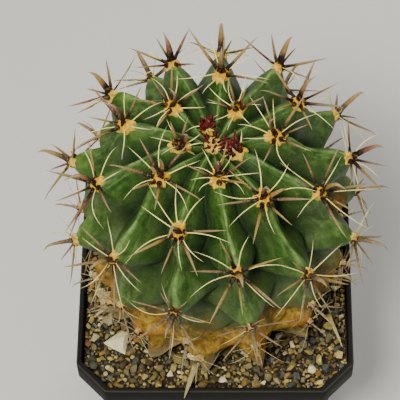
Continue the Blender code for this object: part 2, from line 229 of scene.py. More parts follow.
plant = {
    "x": 1.0 * mm, "rimHeight": 115 * mm, "soilHeight": 107 * mm,
    "ribs": 13, "spiralRibs": 5, "firstTurn": -76.75, "leanPerStep": 0.274,      # turns in degrees
    # the crests' outline: step, radius and height over the rim, in mm
    "crest": ((-5, 0.0, 111.0), (-2, 8.5, 115.0), (2, 20.5, 118.8), (7, 36.0, 117.0), (13, 52.0, 105.6),
              (19, 62.0, 89.0), (25, 65.4, 73.0), (32, 63.0, 54.0), (40, 59.5, 35.0), (47, 58.0, 21.5),
              (52, 56.0, 14.5), (55, 56.0, 6.5), (57, 55.5, -1.0), (59, 48.0, -4.8), (61, 33.0, -5.2)),
    # depths of the furrows, and of the notches between two areoles: step and mm
    "furrow": ((-5, 0.2), (-2, 2.6), (2, 7.0), (7, 12.5), (13, 16.5), (20, 17.5), (27, 14.0), (34, 9.5),
               (41, 6.5), (46, 5.8), (50, 8.5), (52, 12.0), (54, 15.5), (56, 17.0), (58, 16.0), (59.5, 11.0),
               (61, 0.6)),
    "notch": ((-5, 0.0), (0, 1.6), (7, 4.2), (15, 6.5), (32, 6.5), (48, 4.5), (54, 1.0), (61, 0.0)),
    # a rib's section: peaked near the crown, flatter with age from one step to another
    "sharpCrest": 1.15, "roundCrest": 1.7, "chin": 0.85, "flatFrom": 2, "flatBy": 24, "flatPower": 1.9,
    "flatSlope": 0.3, "ridge": 0.12, "shoulder": 0.26, "shoulderPower": 6,
    "firstAreole": -2, "lastAreole": 52, "grownStep": 5, "areoleTilt": 12.0,
    "outlineStep": 0.25, "halvings": 22,
}
ribTurn = math.tau / plant["ribs"]


def shareOf(value, first, last):      # 0 at the first, 1 at the last, and between them in proportion
    return min(max((value - first) / (last - first), 0.0), 1.0)


def grown(step):
    return shareOf(step, plant["firstAreole"], plant["grownStep"])


def readCurve(rows, step):      # a smooth curve through rows of (step, value, ...), for an array of steps
    rows = np.array(rows, float)
    step = np.asarray(step, float)[..., None]
    last = len(rows) - 1
    index = np.clip(np.searchsorted(rows[:, 0], step[..., 0], side="right") - 1, 0, last - 1)
    before, start = rows[np.maximum(index - 1, 0)], rows[index]
    end, after = rows[index + 1], rows[np.minimum(index + 2, last)]
    span = end[..., :1] - start[..., :1]
    t = (step - start[..., :1]) / span
    leaving = (end - before) / (end[..., :1] - before[..., :1]) * span
    arriving = (after - start) / (after[..., :1] - start[..., :1]) * span
    value = (2 * t**3 - 3 * t**2 + 1) * start + (t**3 - 2 * t**2 + t) * leaving
    value += (3 * t**2 - 2 * t**3) * end + (t**3 - t**2) * arriving
    return value[..., 1:]


def crestAt(step):      # radius and height of the crests' outline, and its outward normal in that plane
    first, last = plant["crest"][0][0], plant["crest"][-1][0]
    here = readCurve(plant["crest"], step) * mm
    run = readCurve(plant["crest"], np.minimum(np.asarray(step) + plant["outlineStep"], last))
    run = run - readCurve(plant["crest"], np.maximum(np.asarray(step) - plant["outlineStep"], first))
    run /= np.linalg.norm(run, axis=-1, keepdims=True)
    return here[..., 0], here[..., 1], -run[..., 1], run[..., 0]


def turnOf(rib, step):
    return math.radians(plant["firstTurn"]) + rib * ribTurn + math.radians(plant["leanPerStep"]) * step


def phaseOf(rib, step):      # 0 at an areole of the rib, rising to 1 at the next older one
    return ((step - plant["spiralRibs"] * rib) % plant["ribs"]) / plant["ribs"]


def ribDepth(rib, step, share):      # depth under the crest outline, share half-widths from the crest
    phase = phaseOf(rib, step)
    power = plant["sharpCrest"] + (plant["roundCrest"] - plant["sharpCrest"]) * np.cos(math.pi * phase) ** 2
    furrow = readCurve(plant["furrow"], step)[..., 0] * mm
    notch = readCurve(plant["notch"], step)[..., 0] * mm
    aside = np.abs(share)
    ridge = plant["ridge"] + plant["shoulder"] * np.cos(math.pi * phase) ** plant["shoulderPower"]
    soft = np.sqrt(aside**2 + ridge**2) - ridge
    shallow = 1 - (1 - np.minimum(soft, 1)) ** plant["flatPower"]
    shallow = shallow + plant["flatSlope"] * np.maximum(aside - 1, 0)
    low = np.clip((step - plant["flatFrom"]) / (plant["flatBy"] - plant["flatFrom"]), 0, 1)
    low = low * low * (3 - 2 * low)
    shape = aside**power * (1 - low) + shallow * low
    return notch * np.sin(math.pi * phase ** plant["chin"]) ** 2 + furrow * shape


def furrowShare(rib, step):      # where a rib meets the next one
    low, high = np.zeros_like(step), np.full_like(step, 2.0)
    for halving in range(plant["halvings"]):
        middle = (low + high) / 2
        inside = ribDepth(rib, step, middle) < ribDepth(rib + 1, step, 2 - middle)
        low, high = np.where(inside, middle, low), np.where(inside, high, middle)
    return (low + high) / 2


def aroundPlant(turn, radius, height):
    x, y = plant["x"] + radius * np.sin(turn), -radius * np.cos(turn)
    return np.stack([x, y, plant["rimHeight"] + height], -1)


def areoleFrame(step):      # place on the crest, then the out, crownward and rightward directions
    turn = math.radians(plant["firstTurn"]) - plant["spiralRibs"] * ribTurn * step
    turn += math.radians(plant["leanPerStep"]) * step
    radius, height, out, up = (float(value) for value in crestAt(step))
    side = Vector((math.sin(turn), -math.cos(turn), 0.0))
    normal = side * out + Vector((0, 0, up))
    crownward = Vector((0, 0, out)) - side * up
    right = crownward.cross(normal)
    tilt = Matrix.Rotation(math.radians(-plant["areoleTilt"]) * grown(step), 3, right)
    return Vector(aroundPlant(turn, radius, height)), tilt @ normal, tilt @ crownward, right


# The skin: a spun sheet whose rings follow the rule, with soft unevenness and a wrinkled, corky foot

skinLook = {
    "rings": 216, "columnsPerRib": 24, "fineSteps": 3000, "mergeReach": 1e-6,
    "uneven": 0.8 * mm, "unevenSize": 12 * mm, "fine": 0.22 * mm, "fineSize": 3.2 * mm,
    "sway": 1.3 * mm, "swaySize": 12 * mm,
    "corkTop": (30 * mm, 62 * mm), "corkFold": 0.9 * mm, "corkFoldSize": 7 * mm,
    "neckRadius": 28.7 * mm, "neckHeights": (0.0, -13.7 * mm),      # the neck stands in the grit's hole
    # spots' places and sizes in mm, then colours, among them painted shade for the flanks and furrows and
    # painted highlights for the crests and shoulders
    "corkSpots": (((56, -4, 180), 9), ((58, -11.5, 140), 13), ((-22, 5.8, 226), 4)),
    "waxSpots": (((-5, -46, 113), 16), ((-49, -18, 116), 9), ((46, -27, 116), 9)),
    "greens": ((0.37, (0.013, 0.047, 0.004)), (0.5, (0.034, 0.094, 0.009)), (0.63, (0.08, 0.16, 0.022))),
    "flank": (0.02, 0.054, 0.006), "bloom": (0.11, 0.13, 0.056), "agedGreen": (0.064, 0.09, 0.022),
    "shade": (0.012, 0.038, 0.005), "crest": (0.2, 0.31, 0.085), "paleStreak": (0.135, 0.23, 0.06),
    "darkStreak": (0.014, 0.042, 0.005), "shoulder": (0.125, 0.215, 0.04), "furrow": (0.006, 0.022, 0.003),
    "speck": (0.2, 0.3, 0.09), "scar": (0.2, 0.13, 0.03), "corkEdge": (0.072, 0.062, 0.013),
    "corks": ((0.32, (0.06, 0.028, 0.004)), (0.43, (0.21, 0.11, 0.009)), (0.54, (0.36, 0.225, 0.02)),
              (0.68, (0.54, 0.405, 0.08))),
    "corkStreak": (0.15, 0.07, 0.01), "rust": (0.34, 0.122, 0.009),
    "waxes": ((0.27, 0.215, 0.105), (0.47, 0.41, 0.225)),
    "streakScales": (9.0, 0.35, 60.0),      # across the rib, down it and per metre
}


def skinPlaces():
    first, last = plant["crest"][0][0], plant["crest"][-1][0]
    fine = np.linspace(first, last, skinLook["fineSteps"])
    radius, height, _, _ = crestAt(fine)
    walked = np.concatenate([[0], np.cumsum(np.hypot(np.diff(radius), np.diff(height)))])
    steps = np.interp(np.linspace(0, walked[-1], skinLook["rings"]), walked, fine)
    count = skinLook["columnsPerRib"]
    half = count // 2
    ribs, columns = np.meshgrid(np.arange(plant["ribs"]), np.arange(count), indexing="ij")
    ribs, columns = ribs.ravel(), columns.ravel()
    step = np.repeat(steps[:, None], len(ribs), 1)
    meet = furrowShare(ribs[None], step)
    left = columns <= half
    owner = np.where(left, ribs, ribs + 1)[None]
    share = np.where(left[None], meet * columns / half, (meet - 2) * (count - columns) / half)
    across = np.where(left, columns / half, (count - columns) / half)
    depth = ribDepth(owner, step, share)
    radius, height, out, up = crestAt(step)
    turn = turnOf(owner, step) + share * ribTurn / 2
    places = aroundPlant(turn, radius - depth * out, height - depth * up)
    outward = np.stack([np.sin(turn) * out, -np.cos(turn) * out, up], -1)
    return places, outward, step, np.broadcast_to(across, step.shape), phaseOf(owner, step)


def roughen(place, outward, across):
    look = skinLook
    lift = look["uneven"] * noise.fractal(place / look["unevenSize"], 1.0, 2.0, 3)
    lift += look["fine"] * noise.noise(place / look["fineSize"])
    cork = 1 - shareOf(place.z - plant["rimHeight"], *look["corkTop"])
    fold = Vector((place.x, place.y, place.z * 0.5)) / look["corkFoldSize"]
    lift += look["corkFold"] * cork * (noise.fractal(fold, 0.7, 2.2, 4) - 0.2)
    aside = outward.cross(Vector((0, 0, 1)))
    sway = look["sway"] * noise.noise(place / look["swaySize"] + Vector((7, 3, 1))) * (1 - across)
    sway *= min(math.hypot(place.x - plant["x"], place.y) / look["swaySize"], 1)      # none at the very top
    return place + outward * lift + aside * sway


def makeSkin():
    places, outward, step, across, phase = skinPlaces()
    rings, columns = step.shape
    bm = bmesh.new()
    line = [bm.verts.new((1, 0, -ring)) for ring in range(rings + 2)]
    edges = [bm.edges.new(pair) for pair in zip(line, line[1:])]
    bmesh.ops.spin(bm, geom=line + edges, cent=(0, 0, 0), axis=(0, 0, 1), angle=math.tau, steps=columns,
                   use_merge=True)

    def order(spot):      # by column and ring, because spin's own order varies by run
        halfColumn = round(math.atan2(spot.y, spot.x) / math.pi * columns) % (2 * columns)
        return halfColumn * 2 * (rings + 2) + round(-2 * spot.z)

    bm.verts.sort(key=lambda vert: order(vert.co))
    bm.edges.sort(key=lambda edge: order((edge.verts[0].co + edge.verts[1].co) / 2))
    bm.faces.sort(key=lambda face: order(face.calc_center_median()))
    layers = {name: bm.verts.layers.float.new(name) for name in ("across", "age", "phase")}
    for vert in bm.verts:
        ring = round(-vert.co.z)
        column = round(math.atan2(vert.co.y, vert.co.x) / math.tau * columns) % columns
        source = min(ring, rings - 1)
        place = Vector(places[source, column])
        if ring < rings:
            vert.co = roughen(place, Vector(outward[ring, column]), across[ring, column])
        else:      # the two last rings are the neck
            side = Vector((place.x - plant["x"], place.y, 0)).normalized() * skinLook["neckRadius"]
            height = plant["soilHeight"] + skinLook["neckHeights"][ring - rings]
            vert.co = side + Vector((plant["x"], 0, height))
        vert[layers["across"]] = across[source, column]
        vert[layers["age"]] = step[source, column]
        vert[layers["phase"]] = phase[source, column]
    bmesh.ops.remove_doubles(bm, verts=bm.verts, dist=skinLook["mergeReach"])
    fillHoles(bm)
    bmesh.ops.recalc_face_normals(bm, faces=bm.faces)
    tree = BVHTree.FromBMesh(bm)
    return closeMesh("cactusSkin", bm), tree


def skinPaint():
    look = skinLook
    p = Paint("greenSkin", (0.1, 0.2, 0.06), Specular_IOR_Level=0.27, Coat_Weight=0.04, Coat_Roughness=0.45)
    across, age, phase = p.read("across", "age", "phase")
    height = p.height() - plant["rimHeight"]
    broad, mottle, speck = p.noise(16 * mm, 4, 0.6), p.noise(4 * mm, 4, 0.6), p.noise(0.8 * mm, 2)

    # Green, darker down the flanks towards the furrows as painted shade, with a waxy bloom lower down
    low = 1 - height.between(40 * mm, 100 * mm)
    flank = across.between(0.12, 0.6)
    patch = p.noise(11 * mm, 5, 0.65).between(0.42, 0.62)
    cloud = p.noise(8 * mm, 5, 0.7, (1, 1, 0.6)).between(0.36, 0.5)
    green = p.over(p.ramp(broad * 0.5 + mottle * 0.5, *look["greens"]),
                   # the flank colour is painted shade laid down the rib sides
                   (flank * 0.68, look["flank"]), (flank * patch * (0.25 + 0.6 * low), look["bloom"]),
                   (low * 0.45, look["agedGreen"]), ((1 - cloud) * 0.4, look["shade"]))

    # A broken pale line along each crest as a painted highlight, streaks beside it, lighter shoulders as a
    # painted highlight, furrows darkened as painted shade, specks and scars
    wander = across + (mottle - 0.5) * 0.22
    crestHighlight = (1 - wander.between(0.01, 0.13)) * (0.15 + 0.85 * phase.between(0.08, 0.4))
    broken = 0.1 + 0.9 * p.noise(6 * mm, 4, 0.7).between(0.42, 0.6)
    downRib = [wire * scale for wire, scale in zip((across, age, p.axis(0)), look["streakScales"])]
    streaks = p.noise(1, 4, 0.6, place=p.join(*downRib))
    nearCrest = 1 - across.between(0.15, 0.7)
    # shoulder: lighter green near the crest, a painted highlight
    shoulder = (1 - across.between(0.0, 0.3)) * p.noise(9 * mm, 3).between(0.4, 0.65)
    scar = p.noise(5 * mm, 5, 0.7).between(0.66, 0.72)
    green = p.over(green, (crestHighlight * broken * 0.75, look["crest"]),
                   (streaks.between(0.5, 0.66) * nearCrest * 0.55, look["paleStreak"]),
                   ((1 - streaks.between(0.32, 0.48)) * 0.45, look["darkStreak"]),
                   (shoulder * 0.5, look["shoulder"]),
                   # the furrow colour darkens the creases between ribs as painted shade
                   (across.between(0.5, 1.0) * (0.92 - low * 0.5), look["furrow"]),
                   (speck.between(0.6, 0.72) * 0.18, look["speck"]), (scar * 0.6, look["scar"]))

    # Ochre cork round the foot and on a few spots, with pale wax at the toes
    edge = height + (mottle - 0.5) * (22 * mm) + (broad - 0.5) * (34 * mm) + across * (10 * mm)
    cork = 1 - edge.between(43 * mm, 59 * mm)
    for place, size in look["corkSpots"]:
        cork = cork.most(p.spot(place, size) * (mottle + 0.3).between(0.5, 0.8))
    wax = (1 - (height + mottle * (8 * mm)).between(4 * mm, 15 * mm)) * 0.75
    for place, size in look["waxSpots"]:
        wax = wax.most(p.spot(place, size) * (0.7 + mottle * 0.5))
    tone = p.noise(6 * mm, 6, 0.7)
    streak = p.noise(1.8 * mm, 4, 0.65, (1, 1, 0.22)).between(0.5, 0.68)
    corkTone = p.over(p.ramp(tone, *look["corks"]), (streak * 0.5, look["corkStreak"]),
                      (p.noise(13 * mm, 3).between(0.5, 0.64) * 0.6, look["rust"]),
                      (wax, p.mix(tone, *look["waxes"])))
    colour = p.over(green, (cork, corkTone), (cork * (1 - cork) * 3.2, look["corkEdge"]))

    rings = (age * 9.0 + mottle * 9.0).wave()
    relief = rings * ((1 - across.between(0.05, 0.45)) * 0.14) + speck * 0.35 + mottle * (0.9 + cork * 2.0)
    roughness = 0.46 + mottle * 0.12 + cork * 0.25 + across.between(0.6, 1.0) * 0.4
    return p.finish(colour, roughness, relief + streak * cork * 0.6, 0.22 * mm)


# Spines: the frame's solids say where each one runs, and a finer tapered one is bent along that line

spineLook = {
    "stoutCone": (8, 14), "thinCone": (5, 8), "ringPower": 0.85,      # sides and rings
    "mergeReach": 2e-6, "tipAngle": 130, "highRing": 0.62,      # how a spine is read off a solid
    "centralFlat": 0.42, "radialFlat": 0.8, "rootSink": 0.8 * mm, "castFrom": 10 * mm,
    "youngSteps": (0.6, -1.4), "oldSteps": (17, 37), "standUp": (0.3, 0.6), "rootsInwards": 0.8,
    # tones over 0.5 are dark. Widths are shares of the solid's, hooks and sways of the spine's length
    "centralTone": (0.75, 1.0), "centralWidth": 1.75, "centralThins": 0.8, "darkFor": 1.4,
    "hookDown": (0.12, 0.34), "hookIn": (0.02, 0.16),
    "paleChances": ((60, 0.6), (125, 0.25), (181, 0.08)), "paleWithAge": 0.25,      # by the roll in degrees
    "paleTone": (0.0, 0.22), "paleWidth": 0.45, "paleSway": (-0.07, 0.07),
    "darkTone": (0.55, 1.0), "darkWidth": 1.05, "radialHook": (-0.04, 0.08), "stainStep": 0.6,
    "curled": ((7, 108, 11.0, 38), (5, -100, 7.0, 50)),      # step, roll, length in mm and lift
    "curledWidth": 2.2 * mm,
    "creamWidth": 0.48 * mm, "creamCount": (3, 5), "creamLength": (15 * mm, 24 * mm), "creamTone": (0, 0.12),
    "creamRolls": 8, "creamLift": (6, 18), "creamTries": 16, "creamRise": 4.5, "creamClear": 0.5 * mm,
    "creamOut": (-0.3, 0.08), "creamUp": (-0.2, 0.12), "creamSide": (-0.13, 0.13), "creamArch": (0, 0.07),
    "clearShares": (0.3, 0.45, 0.6, 0.75, 0.9, 1.0),
    "gritHalf": 62 * mm, "overGrit": 3 * mm, "overRim": 1 * mm, "seed": 29,
    # colours from the root to the tip
    "brown": ((0.0, (0.012, 0.002, 0.001)), (0.13, (0.022, 0.003, 0.002)), (0.25, (0.1, 0.054, 0.022)),
              (0.54, (0.205, 0.148, 0.064)), (0.85, (0.27, 0.212, 0.098)), (1.0, (0.33, 0.28, 0.14))),
    "orange": ((0.0, (0.012, 0.003, 0.001)), (0.12, (0.03, 0.006, 0.002)), (0.26, (0.215, 0.122, 0.026)),
               (0.7, (0.285, 0.205, 0.064)), (1.0, (0.3, 0.245, 0.105))),
    "maroon": ((0.0, (0.012, 0.002, 0.001)), (0.12, (0.024, 0.003, 0.002)), (0.3, (0.12, 0.04, 0.024)),
               (0.65, (0.225, 0.118, 0.07)), (1.0, (0.33, 0.26, 0.15))),
    "cream": ((0.0, (0.55, 0.32, 0.05)), (0.12, (0.86, 0.7, 0.18)), (0.6, (0.96, 0.91, 0.36)),
              (1.0, (0.76, 0.68, 0.3))),
    "crimson": ((0.12, (0.02, 0.001, 0.002)), (0.4, (0.125, 0.003, 0.006)), (1.0, (0.07, 0.006, 0.006))),
    "darkBase": (0.01, 0.003, 0.002), "paleFleck": (0.58, 0.47, 0.28),
    "weathered": ((0.17, 0.12, 0.058), (0.43, 0.35, 0.19)),
}


def unitCone(sides):      # from a circle at 0 to a tip at 1 along z
    bm = bmesh.new()
    bmesh.ops.create_cone(bm, cap_ends=True, segments=sides, radius1=1, radius2=0, depth=1,
                          matrix=Matrix.Translation((0, 0, 0.5)))
    return bm


def cutAcross(bm, height, **more):
    everything = bm.verts[:] + bm.edges[:] + bm.faces[:]
    bmesh.ops.bisect_plane(bm, geom=everything, plane_co=(0, 0, height), plane_no=(0, 0, 1), **more)


def coneShape(sides, rings):      # a cone cut into rings: each point's angle and height
    bm = unitCone(sides)
    for ring in range(1, rings):
        cutAcross(bm, (ring / rings) ** spineLook["ringPower"])
    points, faces = shapeArrays(bm)
    return np.arctan2(points[:, 1], points[:, 0]), points[:, 2], faces


def solidSpines(node):      # root, line and width of each spine of a node's solid
    bm = nodeMesh(node)
    bmesh.ops.remove_doubles(bm, verts=bm.verts, dist=spineLook["mergeReach"])
    bm.verts.index_update()
    found = []
    for tip in bm.verts:
        if sum(loop.calc_angle() for loop in tip.link_loops) > math.radians(spineLook["tipAngle"]):
            continue
        rings = [[tip]]
        for hop in range(3):
            inner = set().union(*rings)
            ring = {edge.other_vert(vert) for vert in rings[-1] for edge in vert.link_edges} - inner
            rings.append(sorted(ring, key=lambda vert: vert.index))      # so that sums don't vary by run
        high, low, root = (sum((vert.co for vert in ring), Vector()) / len(ring) for ring in rings[1:])
        width = 2 * sum((vert.co - low).length for vert in rings[2]) / len(rings[2])
        at = spineLook["highRing"]
        bend = ((tip.co - root) * at - (high - root)) / (at - at**2)
        found.append({"root": root, "bend": bend, "reach": tip.co - root - bend, "width": width,
                      "central": len(rings[1]) > 3})
    bm.free()
    return found


# A line is a spine's root, reach and bend. hook moves its tip, sway its middle, and wide is its broad side
def addSpine(pile, shape, line, wide, width, flat, hook=Vector(), sway=Vector(), power=1.0, **values):
    angle, along, faces = shape
    sink = spineLook["rootSink"] / max(line[1].length, 1e-6)
    s = -sink + along * (1 + sink)
    root, reach, bend, wide, hook, sway = (np.array(v) for v in (*line, wide, hook, sway))
    curl = np.clip((s - 0.7) / 0.3, 0, 1)[:, None] ** 2      # the hook is in the last third
    wiggle = np.sin(s * math.pi)[:, None]
    clamp = np.maximum(s, 0)[:, None]
    centre = root + reach * s[:, None] + bend * clamp**2 + hook * curl + sway * wiggle
    tangent = reach + 2 * bend * clamp
    tangent /= np.linalg.norm(tangent, axis=1, keepdims=True)
    across = wide - tangent * (tangent @ wide)[:, None]
    across /= np.linalg.norm(across, axis=1, keepdims=True)
    thick = np.cross(tangent, across)
    taper = (1 - np.clip(s, 0, 1) ** 2.6) * (1 + 0.5 * np.exp(-(np.maximum(s, 0) / 0.08) ** 2))
    taper = np.maximum(taper, 0.03) * (along < 1)
    size = (width / 2 * taper)[:, None]
    points = centre + size * (np.cos(angle)[:, None] * across + flat * np.sin(angle)[:, None] * thick)
    pile.add(points, faces, along=np.clip(s, 0, 1) ** power, **values)


def isClear(tree, point):      # off the skin, the grit and the pot's rim
    look = spineLook
    near, normal, _, _ = tree.find_nearest(point)
    isOverGrit = max(abs(point.x), abs(point.y)) < look["gritHalf"]
    floor = plant["soilHeight"] + look["overGrit"] if isOverGrit else plant["rimHeight"] + look["overRim"]
    return (point - near).dot(normal) > look["creamClear"] and point.z > floor


def padScale(step):
    return float(np.interp(step, *zip(*feltLook["scaleAt"])))


def rollOf(areole, direction):      # degrees round the areole: 0 to the crown, 90 to the right
    return math.degrees(math.atan2(direction.dot(areole[3]), direction.dot(areole[2])))


def awayAt(areole, roll):      # the direction over the skin at a roll
    turn = math.radians(roll)
    return areole[2] * math.cos(turn) + areole[3] * math.sin(turn)


def apart(roll, other):      # degrees between two rolls, from -180 to 180
    return (roll - other + 180) % 360 - 180


def creamWay(tree, rng, areole, roll, length):      # a thin spine close over the skin, or as low as it can be
    place, normal, crownward, _ = areole
    look, away = spineLook, awayAt(areole, roll)
    lift = rng.uniform(*look["creamLift"])
    curve = (normal * rng.uniform(*look["creamOut"]) + crownward * rng.uniform(*look["creamUp"])) * length
    for attempt in range(look["creamTries"]):
        rise = math.radians(lift + look["creamRise"] * attempt)
        reach = (away * math.cos(rise) + normal * math.sin(rise)) * length
        points = (place + reach * s + curve * s * s for s in look["clearShares"])
        if all(isClear(tree, point) for point in points):
            return reach, curve
    return None


def addCreams(pile, shape, tree, rng, areole, step, ages, pale):      # thin pale spines where there is room
    look, normal = spineLook, areole[1]
    scale = 0.42 + 0.58 * grown(step)
    count = rng.randint(*look["creamCount"]) * (1 - 0.6 * ages["old"]) * (1 - 0.5 * ages["young"])
    for cream in range(round(count)):
        rolls = [rng.uniform(-180, 180) for choice in range(look["creamRolls"])]
        roll = max(rolls, key=lambda own: min([abs(apart(own, other)) for other in pale], default=0))
        length = rng.uniform(*look["creamLength"]) * scale * (1 - 0.35 * ages["old"])
        start = areole[0] + normal * mm
        way = creamWay(tree, rng, (start, *areole[1:]), roll, length)
        if way is None:
            continue
        wide = normal.cross(way[0]).normalized()
        sway = (wide * rng.uniform(*look["creamSide"]) + normal * rng.uniform(*look["creamArch"])) * length
        line = (start + awayAt(areole, roll) * (2.0 * mm * scale), *way)
        addSpine(pile, shape, line, wide, look["creamWidth"], look["radialFlat"], sway=sway,
                 tone=rng.uniform(*look["creamTone"]), chance=rng.random(), **ages)
        pale.append(roll)


def addCurled(pile, shape, areole, step):      # central spines that curl, placed as listed
    place, normal, _, _ = areole
    for ofStep, roll, length, lift in spineLook["curled"]:
        if ofStep == step:
            away, rise = awayAt(areole, roll), math.radians(lift)
            reach = (away * math.cos(rise) + normal * math.sin(rise)) * (length * mm)
            wide = normal.cross(away).normalized()
            hook = (-normal * 0.55 + away * 0.1 + wide * 0.15) * (length * mm)
            addSpine(pile, shape, (place + away * mm, reach, Vector()), wide, spineLook["curledWidth"],
                     spineLook["centralFlat"], hook, tone=0.9, young=0.0, old=0.0, chance=1.0)


def makeCluster(node, step, tree, rng, shapes):      # the spines of one areole, and what its felt has to know
    look = spineLook
    place, normal, crownward, right = areoleFrame(step)
    place = tree.ray_cast(place + normal * look["castFrom"], -normal)[0]
    areole = (place, normal, crownward, right)
    pile, pale, dark, roots, darkRoots = Pile(), [], [], [], []
    scale, young, old = padScale(step), shareOf(step, *look["youngSteps"]), shareOf(step, *look["oldSteps"])
    ages = {"young": young, "old": old}
    for spine in solidSpines(node):
        inwards = place - spine["root"]
        inwards = (inwards - normal * inwards.dot(normal)) * (1 - min(scale, 1)) * look["rootsInwards"]
        root = spine["root"] + inwards      # the tips stay where the solid has them
        reach, width = spine["reach"] - inwards, spine["width"]
        roll = rollOf(areole, reach)
        reach += (normal * reach.length - reach) * (rng.uniform(*look["standUp"]) * young)
        roots.append(root)
        if spine["central"]:
            tone, wide, flat, sway = rng.uniform(*look["centralTone"]), right, look["centralFlat"], Vector()
            hook = -crownward * rng.uniform(*look["hookDown"]) - normal * rng.uniform(*look["hookIn"])
            hook *= reach.length
            width *= look["centralWidth"] - look["centralThins"] * old
        else:
            often = next(share for limit, share in look["paleChances"] if abs(roll) < limit)
            kind = "pale" if rng.random() < often + look["paleWithAge"] * old else "dark"
            tone = rng.uniform(*look[kind + "Tone"])
            wide, flat = normal.cross(reach).normalized(), look["radialFlat"]
            hook = -normal * reach.length * rng.uniform(*look["radialHook"])
            sway = wide * reach.length * (rng.uniform(*look["paleSway"]) if kind == "pale" else 0.0)
            width *= look[kind + "Width"]
            (pale if kind == "pale" else dark).append(roll)
        if tone > 0.5:
            darkRoots += [root + reach.normalized() * (hop * look["stainStep"] * mm) for hop in (1, 2, 3)]
        width *= (1 + 1.5 * young) * (1 - 0.35 * old)
        addSpine(pile, shapes["stout"], (root, reach, spine["bend"]), wide, width, flat, hook, sway,
                 look["darkFor"] if spine["central"] else 1.0, tone=tone, chance=rng.random(), **ages)
    addCurled(pile, shapes["stout"], areole, step)
    addCreams(pile, shapes["thin"], tree, rng, areole, step, ages, pale)
    seat = {"areole": areole, "pale": pale, "dark": dark, "roots": roots, "darkRoots": darkRoots}
    return pile.mesh(f"cluster_{node[-2:]}"), seat


def spinePaint():
    look = spineLook
    p = Paint("spine", (0.5, 0.33, 0.2), Specular_IOR_Level=0.16)
    along, tone, young, old, chance = p.read("along", "tone", "young", "old", "chance")
    colours = ("brown", "orange", "maroon", "cream", "crimson")
    brown, orange, maroon, cream, crimson = (p.ramp(along, *look[name]) for name in colours)
    streak, isDark = p.noise(1.4 * mm, 3, 0.6), tone.between(0.3, 0.5)
    dark = p.over(maroon, (chance.between(0.12, 0.32), brown), (chance.between(0.6, 0.85), orange))
    base = (1 - along.between(0.12, 0.36)) * (1 - old.between(0.0, 0.25)) * isDark
    colour = p.over(cream, (isDark, dark), (base * 0.8, look["darkBase"]),
                    (young.between(0.25, 0.75) * isDark, crimson),
                    (old * 0.85 * streak.between(0.2, 0.55), p.mix(streak, *look["weathered"])),
                    (streak.between(0.5, 0.75) * 0.3 * isDark, look["paleFleck"]))
    rings = (along * 105.0 + streak * 2.0).wave()
    return p.finish(colour, 0.42 + streak * 0.25, rings * 0.5 + streak, 0.1 * mm)


# Felt: a star of short wool on every areole, its points on the pale spines, with loose hairs

feltLook = {
    "radius": 3.7 * mm, "stretch": 1.3, "cover": 0.6 * mm, "rootShare": 0.8, "fullness": 0.5,
    "scaleAt": ((-2, 0.8), (0, 0.9), (7, 0.88), (12, 0.78), (16, 0.68), (24, 0.62), (44, 0.5)),
    "plain": 0.94, "lobe": 0.36, "notch": 0.06, "lobeWidth": 12.0, "lump": 0.35 * mm, "lumpSize": 1.1 * mm,
    "dome": (42, 18), "domeFoot": -0.3, "castFrom": 6 * mm, "lowest": -1.6 * mm,
    "hairs": 140, "hairLength": (0.9 * mm, 2.2 * mm), "hairWidth": 0.2 * mm, "hairSides": 3,
    "hairsReach": 0.9, "stain": 1.25 * mm, "oldSteps": (13, 33), "seed": 41,
    "fresh": ((0.28, (0.32, 0.1, 0.008)), (0.45, (0.6, 0.32, 0.016)), (0.6, (0.84, 0.58, 0.078))),
    "worn": ((0.36, (0.24, 0.125, 0.05)), (0.6, (0.6, 0.44, 0.22))), "dark": (0.022, 0.004, 0.002),
}


def domeShape():      # the upper part of a ball
    around, up = feltLook["dome"]
    bm = bmesh.new()
    bmesh.ops.create_uvsphere(bm, u_segments=around, v_segments=up, radius=1)
    cutAcross(bm, feltLook["domeFoot"], clear_inner=True)
    fillHoles(bm)
    return shapeArrays(bm)


def scatter(rng, north, east):      # a random way over a disk, and how far out
    angle, out = rng.uniform(0, math.tau), math.sqrt(rng.random())
    return north * math.cos(angle) + east * math.sin(angle), out


def addHair(pile, hair, root, direction, length, width, **values):
    points, faces = hair
    turn = direction.to_track_quat("Z", "Y").to_matrix()
    shaped = points * (width / 2, width / 2, length)
    pile.add(shaped @ np.array(turn).T + np.array(root), faces, **values)


